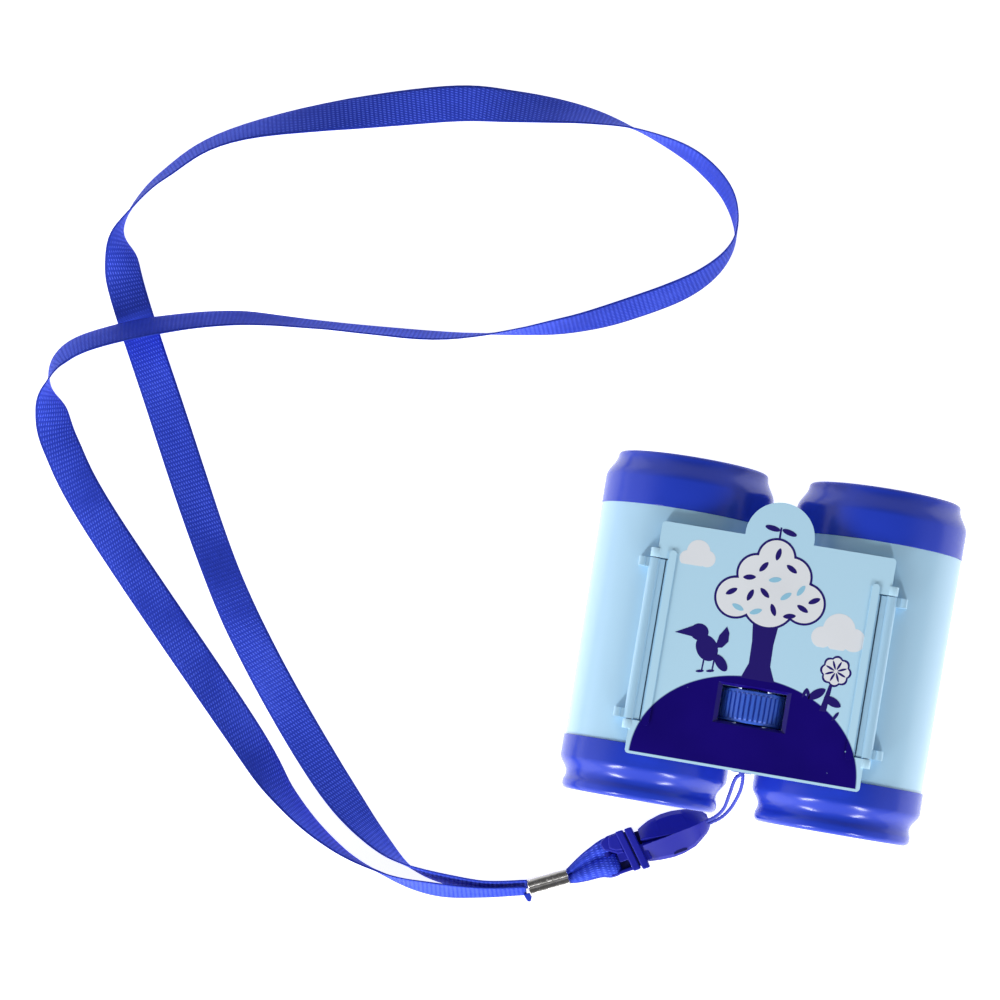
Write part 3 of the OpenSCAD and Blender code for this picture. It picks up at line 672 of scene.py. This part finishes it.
def blob(circles, grow=0.0, base=None, steps=240):
    """Outline of circles run together, seen from their middle, cut straight at a base line."""
    cx = sum(c[0] for c in circles) / len(circles)
    cy = sum(c[1] for c in circles) / len(circles)
    out = []
    for i in range(steps):
        a = 2 * math.pi * i / steps
        dx, dy = math.cos(a), math.sin(a)
        best = 0.0
        for x, y, r in circles:
            r += grow
            along = (x - cx) * dx + (y - cy) * dy
            off = (x - cx) ** 2 + (y - cy) ** 2 - along ** 2
            if off < r * r:
                best = max(best, along + math.sqrt(r * r - off))
        px, py = cx + dx * best, cy + dy * best
        out.append((px, max(py, base - grow) if base is not None else py))
    return out


def ellipse(cx, cy, rx, ry, turn=0.0, steps=48):
    c, s = math.cos(math.radians(turn)), math.sin(math.radians(turn))
    out = []
    for i in range(steps):
        a = 2 * math.pi * i / steps
        x, y = rx * math.cos(a), ry * math.sin(a)
        out.append((cx + x * c - y * s, cy + x * s + y * c))
    return out


def leaf(cx, cy, rx, ry, turn):
    """Leaf outline, pointed at both ends."""
    c, s = math.cos(math.radians(turn)), math.sin(math.radians(turn))
    curve = [math.pi * i / 12 for i in range(12)]
    half = [(-rx * math.cos(a), ry * math.sin(a) ** 1.3) for a in curve]
    both = half + [(-x, -y) for x, y in half]
    return [(cx + x * c - y * s, cy + x * s + y * c) for x, y in both]


def petals(cx, cy, radius, count, depth, steps=160):
    """Outline of a round flower with one bulge for each petal."""
    out = []
    for i in range(steps):
        a = 2 * math.pi * i / steps
        r = radius * (1 - depth + depth * abs(math.cos(count * a / 2)))
        out.append((cx + r * math.cos(a), cy + r * math.sin(a)))
    return out


PRINT_STEP = 0.02 * MM


def printed(name, outline, material, layer=1):
    """One colour of the print, a hair thick, with later layers a hair higher."""
    low, high = PLATE_TOP - PRINT_STEP, PLATE_TOP + PRINT_STEP * layer
    piece = prism("print_" + name, in_mm(outline), low, high, material)
    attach(piece, "bridge")


def print_clouds():
    left = [(-24.0, 19.6, 2.1), (-21.2, 21.8, 3.2), (-18.6, 20.2, 2.3), (-21.2, 19.6, 2.2)]
    right = [(15.6, 4.3, 2.9), (19.9, 7.0, 4.4), (24.2, 4.8, 3.2), (20.0, 4.2, 3.2)]
    printed("cloud_left", blob(left, base=17.9), WHITE_INK)
    printed("cloud_right", blob(right, base=1.5), WHITE_INK)


def print_tree():
    """A plain round-crowned tree on the hill, its crown filled with scattered leaves."""
    trunk = [(-3.6, 6), (3.6, 6), (3.0, 0), (3.1, -6), (4.9, -10.2), (-4.4, -10.2), (-2.8, -6), (-2.9, 0)]
    printed("trunk", trunk, NAVY_INK)
    crown = [(-9.2, 11.2, 5.9), (9.4, 12.4, 5.9), (0, 11.5, 7.6),
             (-4.6, 18.5, 5.6), (4.8, 19.0, 5.8), (0, 23.6, 5.4)]
    printed("crown_edge", blob(crown), NAVY_INK, 2)
    printed("crown", blob(crown, grow=-0.62), WHITE_INK, 3)
    leaves = [(-10.6, 12.6, 35), (-8.2, 8.6, -20), (-5.4, 12.4, 70), (-6.4, 17.2, 10),
              (-3.2, 8.2, 25), (-1.6, 13.6, -40), (-3.0, 20.6, 55), (0.6, 17.6, 15),
              (1.4, 9.4, -65), (0.4, 24.6, 80), (4.2, 13.6, 40), (4.6, 21.2, -30),
              (6.0, 8.4, 12), (8.0, 15.8, 60), (9.2, 11.0, -25), (12.0, 13.6, 30)]
    for i, (x, y, turn) in enumerate(leaves):
        ink = SKY_INK if i % 3 == 1 else NAVY_INK
        printed("leaf_%d" % i, leaf(x, y, 1.75, 0.72, turn), ink, 4)
    printed("sprout", [(-0.3, 28.6), (0.3, 28.6), (0.25, 32.0), (-0.25, 32.0)], NAVY_INK)
    printed("sprout_leaf_left", ellipse(-2.3, 31.4, 2.1, 0.75, -8), NAVY_INK, 2)
    printed("sprout_leaf_right", ellipse(2.4, 30.9, 2.1, 0.75, -14), NAVY_INK, 3)


def print_bird():
    """A plain bird standing on the slope."""
    printed("bird_body", ellipse(-14.7, -3.8, 3.7, 2.9, -58), NAVY_INK)
    printed("bird_head", ellipse(-17.4, 0.2, 2.5, 2.3), NAVY_INK, 2)
    printed("bird_beak", [(-18.4, 2.1), (-24.0, -0.9), (-18.4, -1.4)], NAVY_INK, 3)
    wing = [(-12.6, -3.4), (-11.9, 0.2), (-10.2, 2.9), (-9.3, 1.2), (-9.2, -1.2), (-10.6, -3.0)]
    printed("bird_wing", wing, NAVY_INK, 3)
    printed("bird_tail", ellipse(-10.3, -7.2, 2.6, 1.35, -48), NAVY_INK, 4)
    for i, (x, y) in enumerate(((-15.7, -10.3), (-12.9, -9.8))):
        leg = [(x + 0.35, y), (x + 0.75, y), (x + 0.95, y + 4), (x + 0.5, y + 4)]
        printed("bird_leg_%d" % i, leg, NAVY_INK, 2)
        printed("bird_foot_%d" % i, ellipse(x + 0.1, y, 1.1, 0.35, 12), NAVY_INK, 3)


def print_flower():
    """A plain flower of eight round petals, with leaves, on the right slope."""
    x, y = 20.8, -4.3
    printed("flower_edge", petals(x, y, 4.3, 8, 0.13), NAVY_INK)
    printed("flower", petals(x, y, 3.7, 8, 0.13), WHITE_INK, 2)
    for i in range(8):
        turn = 45 * i + 22.5
        dx, dy = math.cos(math.radians(turn)), math.sin(math.radians(turn))
        ray = leaf(x + 1.75 * dx, y + 1.75 * dy, 1.3, 0.3, turn)
        printed("flower_ray_%d" % i, ray, NAVY_INK, 3)
    stem = [(19.6, -8.2), (20.5, -8.2), (19.9, -15.6), (18.0, -15.6)]
    printed("flower_stem", stem, NAVY_INK, 2)
    printed("flower_leaf_left", leaf(16.7, -11.2, 2.7, 1.2, 38), NAVY_INK, 3)
    printed("flower_leaf_right", leaf(21.2, -12.6, 2.6, 1.2, -22), NAVY_INK, 4)
    for i, (x, y, turn) in enumerate(((13.4, -11.4, 70), (14.4, -11.6, 105), (22.6, -16.4, 60))):
        printed("grass_%d" % i, leaf(x, y, 1.5, 0.45, turn), NAVY_INK, 2 + i)


def notch_strips(side):
    """Thin strips that narrow the gap beside the hinge knuckle: one on the barrel, one on the plate."""
    y0, y1 = -26.0 * MM, 18.1 * MM
    parts = (("_notch_strip", 29.75, 31.3, -0.15, 0.66, side + "_barrel"),
             ("_notch_lip", 28.95, 29.42, -0.25, 0.72, "bridge"))
    for name, x0, x1, low, high, body in parts:
        outline = [(x0 * MM, y0), (x1 * MM, y0), (x1 * MM, y1), (x0 * MM, y1)]
        piece = prism(side + name, outline, HINGE_Z + low * MM, HINGE_Z + high * MM, LIGHT_BLUE)
        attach(place_side(piece, side), body)


for side in SIDES:
    notch_strips(side)
print_clouds()
print_tree()
print_bird()
print_flower()


# ---------------------------------------------------------------- buckle and crimp

def placed(at, turn):
    return Matrix.Translation(Vector(at) * MM) @ Matrix.Rotation(math.radians(turn), 4, "Z")


BUCKLE = placed((-33.7, -65.1, 0.2), 28.6)
CRIMP = placed((-54.5, -78, 0.2), 25.7)


def at_x(table, x):
    """Reads a table of (x, values...) rows at x, in straight steps."""
    for a, b in zip(table, table[1:]):
        if x <= b[0]:
            t = max(0.0, (x - a[0]) / (b[0] - a[0]))
            return [p + (q - p) * t for p, q in zip(a[1:], b[1:])]
    return list(table[-1][1:])


def join_rings(name, rings, material, place, edge=0.0, uvs=None):
    rings = [[place @ (Vector(p) * MM) for p in ring] for ring in rings]
    piece = grid_skin(name, rings, material, uvs=uvs)
    if edge:
        round_edges(piece, edge, segments=3, angle=28)
    return piece


def block(name, x0, x1, y0, y1, z0, z1, material, place, skew=0.0, edge=0.3):
    """A block whose ends lean along X by the skew, with rounded edges."""
    outline = in_mm([(x0 + skew, y0), (x1 + skew, y0), (x1, y1), (x0, y1)])
    return prism(name, outline, z0 * MM, z1 * MM, material, place, edge * MM)


def buckle_plug():
    """Pointed oval leaf with a roof ridge and a tapering slit, on a shoulder with a neck."""
    # x, lower edge, ridge, upper edge
    table = [(10.6, -5.2, 0.5, 4.4), (12.2, -5.6, 0.4, 5.1), (14.1, -6.0, 0.25, 5.8),
             (17.9, -6.45, 0.0, 6.4), (21.1, -6.3, -0.1, 6.3), (24.8, -5.5, 0.0, 5.6),
             (27.6, -3.9, 0.3, 4.7), (29.2, -2.9, 0.55, 3.7), (30.2, -1.9, 0.7, 2.7), (30.6, -1.2, 0.8, 2.1)]
    first, tip = table[0][0], table[-1][0]
    rings = []
    steps = 24
    for k in range(steps + 1):
        x = first + (tip - first) * k / steps
        low, ridge, high = at_x(table, x)
        drop = 1.1 * max(0.0, (x - 26.0) / 4.6) ** 2
        slit = max(0.03, 1.0 * (20.6 - x) / 10.0)
        deep = 1.9 * min(1.0, slit / 0.6) if slit > 0.03 else 0.02
        top = 7.1 - drop
        section = [(low, 0.4), (low, 3.6 - drop), (low + 0.9, 5.0 - drop),
                   (ridge - slit, top), (ridge, top - deep), (ridge + slit, top),
                   (high - 1.2, 4.6 - drop), (high, 2.8), (high, 0.4)]
        rings.append([(x, y, z) for y, z in section])
    pieces = [join_rings("plug_leaf", rings, DARK_BLUE, BUCKLE, edge=0.22 * MM),
              block("plug_shoulder", 6.95, 9.1, -6.9, 5.7, 0.3, 7.2, DARK_BLUE, BUCKLE, skew=1.5, edge=0.45),
              block("plug_neck", 8.4, 11.4, -5.0, 0.1, 0.5, 6.3, DARK_BLUE, BUCKLE, skew=0.6, edge=0.3),
              # painted shade: the lower neck block is coloured as the shade under the neck
              block("plug_neck_low_shade", 8.2, 11.2, 0.0, 4.0, 0.5, 3.4, PAINTED_SHADE_BLUE, BUCKLE, edge=0.2),
              block("plug_tongue", 2.8, 7.6, -2.9, 2.9, 1.8, 5.4, DARK_BLUE, BUCKLE, edge=0.3)]
    # painted shade: a thin dark sheet in the side hollow of the leaf stands in for the shade in it
    side_y = -5.75
    shade_scoop = [(18.2, side_y)] + arc((20.3, side_y), 2.05, 180, 20, 12) + [(22.3, -5.5)]
    shade_scoop = in_mm([(x, side_y + (y - side_y) * 0.5) for x, y in shade_scoop])
    pieces.append(prism("plug_side_hollow_shade", shade_scoop, 4.7 * MM, 5.25 * MM, PAINTED_SHADE_BLUE, BUCKLE))
    for piece in pieces:
        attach(piece, "bridge")
        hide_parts("buckle_plug")


def buckle_socket():
    """Collar, a stepped upper arm, a thin lower arm, and the bar that the ribbon goes round."""
    arm = in_mm([(-0.9, 3.4), (-0.5, 4.4), (1.6, 5.4), (4.9, 5.5), (5.0, -0.6), (3.2, -0.5), (0.9, 1.1),
                 (-0.3, 1.7)])
    step = in_mm([(1.2, 1.8), (1.9, 5.0), (4.9, 5.2), (5.0, 0.2), (3.0, 0.6)])
    edge = 0.5 * MM
    pieces = [block("socket_collar", 4.3, 6.45, -6.5, 5.7, 0.2, 7.2, DARK_BLUE, BUCKLE, skew=1.5, edge=0.45),
              prism("socket_upper_arm", arm, 0.5 * MM, 6.0 * MM, DARK_BLUE, BUCKLE, edge),
              prism("socket_step", step, 5.2 * MM, 6.9 * MM, DARK_BLUE, BUCKLE, edge),
              # painted shade: a dark core fills the gap between the collar and the plug's shoulder, which
              # lies in shade
              block("socket_shade_core", 5.9, 7.3, -5.7, 4.9, 0.6, 6.3, PAINTED_SHADE_BLUE, BUCKLE, skew=1.5, edge=0.2),
              block("socket_lower_arm", -0.6, 6.0, -6.1, -5.1, 0.8, 5.2, DARK_BLUE, BUCKLE, edge=0.35),
              # painted shade: the throat block is coloured as the shade inside the socket
              block("socket_throat_shade", 2.6, 5.4, -5.2, 0.0, 1.6, 3.4, PAINTED_SHADE_BLUE, BUCKLE, edge=0.2)]
    bar_x, bar_z, bar_r, sides = 0.4, 3.6, 1.2, 20
    turns = [2 * math.pi * i / sides for i in range(sides)]
    bar = []
    for y in (-5.4, 2.6):
        bar.append([(bar_x + bar_r * math.cos(a), y, bar_z + bar_r * math.sin(a)) for a in turns])
    pieces.append(join_rings("socket_bar", bar, DARK_BLUE, BUCKLE))
    for piece in pieces:
        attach(piece, "lanyard")
        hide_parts("buckle_socket")


def fan_sheet(name, stations, thick, folds):
    """A ribbon gathered at the crimp that fans out to the bar, through (x, low, high, z base, z crest)."""
    columns, per_station = 28, 5
    rings, uvs = [], []
    for k in range((len(stations) - 1) * per_station + 1):
        t = k / per_station
        x, low, high, base, crest = spline(stations, t)
        top = []
        for i in range(columns + 1):
            w = 2 * i / columns - 1
            fold = 0.3
            for middle, width, tall in folds:
                fold = max(fold, tall * math.sqrt(max(0.0, 1 - ((w - middle) / width) ** 2)))
            crease = 0.4 * noise.noise(Vector((t * 2.2, w * 3.0, 0.7)))
            crease += 0.12 * noise.noise(Vector((t * 5, w * 9, 2)))
            z = base + (crest - base) * fold + crease
            top.append((x, low + (high - low) * (w + 1) / 2, z))
        ring = top + [(px, py, pz - thick) for px, py, pz in reversed(top)]
        rings.append(ring)
        lane = [(t * 2.2 * MM, (i / columns - 0.5) * RIBBON_W) for i in range(columns + 1)]
        uvs += lane + lane[::-1]
    piece = join_rings(name, rings, RIBBON, BUCKLE, uvs=uvs)
    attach(piece, "lanyard")
    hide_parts("ribbon_loop")


def ribbon_loop():
    front = [(-12.6, -4.0, 0.2, 0.9, 2.9), (-10.2, -4.6, 1.4, 0.9, 3.8), (-7, -5.0, 2.9, 1.0, 4.8),
             (-3.6, -5.3, 4.1, 1.2, 5.8), (-1.0, -6.2, 4.9, 1.6, 6.5), (1.0, -6.3, 5.2, 2.0, 6.6),
             (2.2, -6.0, 5.2, 1.8, 5.4), (2.7, -5.6, 5.0, 1.2, 3.6)]
    fan_sheet("ribbon_loop_front", front, 0.5, [(-0.42, 0.62, 1.0), (0.55, 0.42, 0.78)])
    back = [(-12.6, -3.6, -0.2, 0.7, 1.1), (-7, -4.4, 2.2, 0.7, 1.0), (-1.0, -5.0, 4.4, 0.8, 1.2),
            (1.8, -5.0, 4.6, 1.4, 2.4)]
    fan_sheet("ribbon_loop_back", back, 0.4, [(0.0, 1.2, 1.0)])


def ribbon_crimp():
    """Folded nickel tube: two lobes with a groove between, and a row of tooth marks on the upper lobe."""
    half_w, lobe, length = 2.75, 1.75, 12.0
    groove = 56
    ring = arc((half_w - lobe, lobe), lobe, -90, 180 - groove, 22)
    ring += arc((lobe - half_w, lobe), lobe, groove, 270, 22)
    steps = 96
    rings = []
    for k in range(steps + 1):
        x = length * k / steps
        end = min(x, length - x)
        shrink = 0.12 * max(0.0, 1 - end / 0.25) ** 2
        tooth = max(0.0, math.cos(2 * math.pi * (x - 2) / 1.8)) ** 5 if 1.2 < x < 10.2 else 0.0
        row = []
        for y, z in ring:
            mark = 0.07 * tooth * max(0.0, 1 - ((y - 0.75) / 0.75) ** 2) if z > lobe else 0.0
            wave = 0.03 * noise.noise(Vector((x * 0.7, y * 0.9, z)))
            row.append((x, y * (1 - shrink), lobe + (z - lobe) * (1 - shrink) - mark + wave))
        rings.append(row)
    piece = join_rings("crimp_tube", rings, NICKEL, CRIMP)
    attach(piece, "lanyard")
    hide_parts("ribbon_crimp")


def ribbon_stub():
    """Cut end of the ribbon that pokes out beside the crimp."""
    outline = in_mm([(-1.9, -1.2), (0.3, -1.4), (0.2, -2.6), (-0.5, -3.9), (-1.3, -3.6), (-1.7, -2.4)])
    piece = prism("ribbon_stub_end", outline, 0.5 * MM, 2.3 * MM, RIBBON, CRIMP, 0.3 * MM)
    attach(piece, "lanyard")


buckle_plug()
buckle_socket()
ribbon_loop()
ribbon_crimp()
ribbon_stub()


# ---------------------------------------------------------------- CAD nodes that stay

CAD_LOOKS = {
    "bridge_plate": (PRINTED, 0.22), "bridge_base": (ROYAL_BLUE, 0.25), "bridge_screws": (STEEL, 0.12),
    "focus_spindle": (STEEL, 0.15), "spindle_clip": (STEEL, 0.08), "focus_yoke": (DARK_BLUE, 0.15),
}
for side in SIDES:
    CAD_LOOKS[side + "_barrel_tube"] = (LIGHT_BLUE, 0)
    CAD_LOOKS[side + "_hinge_pin"] = (STEEL, 0.1)
    CAD_LOOKS[side + "_lens_ring"] = (INNER_BLUE, 0.1)
    CAD_LOOKS[side + "_lens_carrier"] = (INNER_BLUE, 0.1)
    CAD_LOOKS[side + "_eye_lens_ring"] = (INNER_BLUE, 0.08)
    CAD_LOOKS[side + "_objective_lens"] = (GLASS, 0)
    CAD_LOOKS[side + "_eye_lens"] = (GLASS, 0)


def dress_cad_nodes():
    for name, (material, edge) in CAD_LOOKS.items():
        obj = frame["nodes"][name]
        obj.data.materials.clear()
        obj.data.materials.append(material)
        if edge:
            round_edges(obj, edge * MM, segments=2)


dress_cad_nodes()


# ---------------------------------------------------------------- stage and lights

def make_floor():
    s = Shader("floor_paper")
    s.link(s.ramp(s.noise(s.coords(), 12, 2), [(0.3, (0.93, 0.93, 0.93, 1)), (0.7, (0.95, 0.95, 0.95, 1))]),
           s.bsdf.inputs["Base Color"])
    s.set(Roughness=0.9, Emission_Strength=0.9, Emission_Color=(1, 1, 1, 1))
    size = 3.0
    floor = add_mesh("floor", [(-size, -size, 0), (size, -size, 0), (size, size, 0), (-size, size, 0)],
                     [(0, 1, 2, 3)], s.material, smooth=False)


def area_light(name, place, size, power):
    """Oval softbox aimed at the object."""
    target = (0, 0, 0.02)
    data = bpy.data.lights.new(name, "AREA")
    data.shape = "ELLIPSE"
    data.size, data.size_y = size
    data.energy = power
    light = bpy.data.objects.new(name, data)
    light.location = place
    light.rotation_euler = (Vector(target) - Vector(place)).to_track_quat("-Z", "Y").to_euler()
    bpy.context.scene.collection.objects.link(light)


WORLD_LEFT = 1.2
WORLD_RIGHT = 0.68
WORLD_REAR = 1.15
WORLD_FRONT = 0.75


def side_to_side(tree, place, low, high):
    """A brightness that runs from low to high across the sky."""
    lean = tree.nodes.new("ShaderNodeMapRange")
    for key, value in (("From Min", -1), ("From Max", 1), ("To Min", low), ("To Max", high)):
        lean.inputs[key].default_value = value
    tree.links.new(place, lean.inputs["Value"])
    return lean.outputs["Result"]


def make_world():
    """Studio surround: bright towards the horizon, dim overhead, brighter on the left and at the rear."""
    world = bpy.data.worlds.new("studio")
    world.use_nodes = True
    tree = world.node_tree
    background = tree.nodes["Background"]
    where = tree.nodes.new("ShaderNodeTexCoord")
    split = tree.nodes.new("ShaderNodeSeparateXYZ")
    tree.links.new(where.outputs["Generated"], split.inputs["Vector"])
    tone = tree.nodes.new("ShaderNodeValToRGB")
    ends = tone.color_ramp.elements
    tone.color_ramp.interpolation = "EASE"
    ends[0].position, ends[0].color = 0.35, (1, 1, 1, 1)
    ends[1].position, ends[1].color = 0.93, (0.1, 0.1, 0.1, 1)
    tree.links.new(split.outputs["Z"], tone.inputs["Fac"])
    both = tree.nodes.new("ShaderNodeMath")
    both.operation = "MULTIPLY"
    tree.links.new(side_to_side(tree, split.outputs["X"], WORLD_LEFT, WORLD_RIGHT), both.inputs[0])
    tree.links.new(side_to_side(tree, split.outputs["Y"], WORLD_REAR, WORLD_FRONT), both.inputs[1])
    tree.links.new(tone.outputs["Color"], background.inputs["Color"])
    tree.links.new(both.outputs["Value"], background.inputs["Strength"])
    bpy.context.scene.world = world


def make_lights():
    make_world()
    area_light("rear_left", (-0.6, -0.95, 0.58), (0.17, 0.55), 9)
    area_light("rear_right", (0.55, -1.0, 0.56), (0.15, 0.5), 7)
    bpy.context.scene.view_settings.view_transform = "Standard"


make_floor()
make_lights()
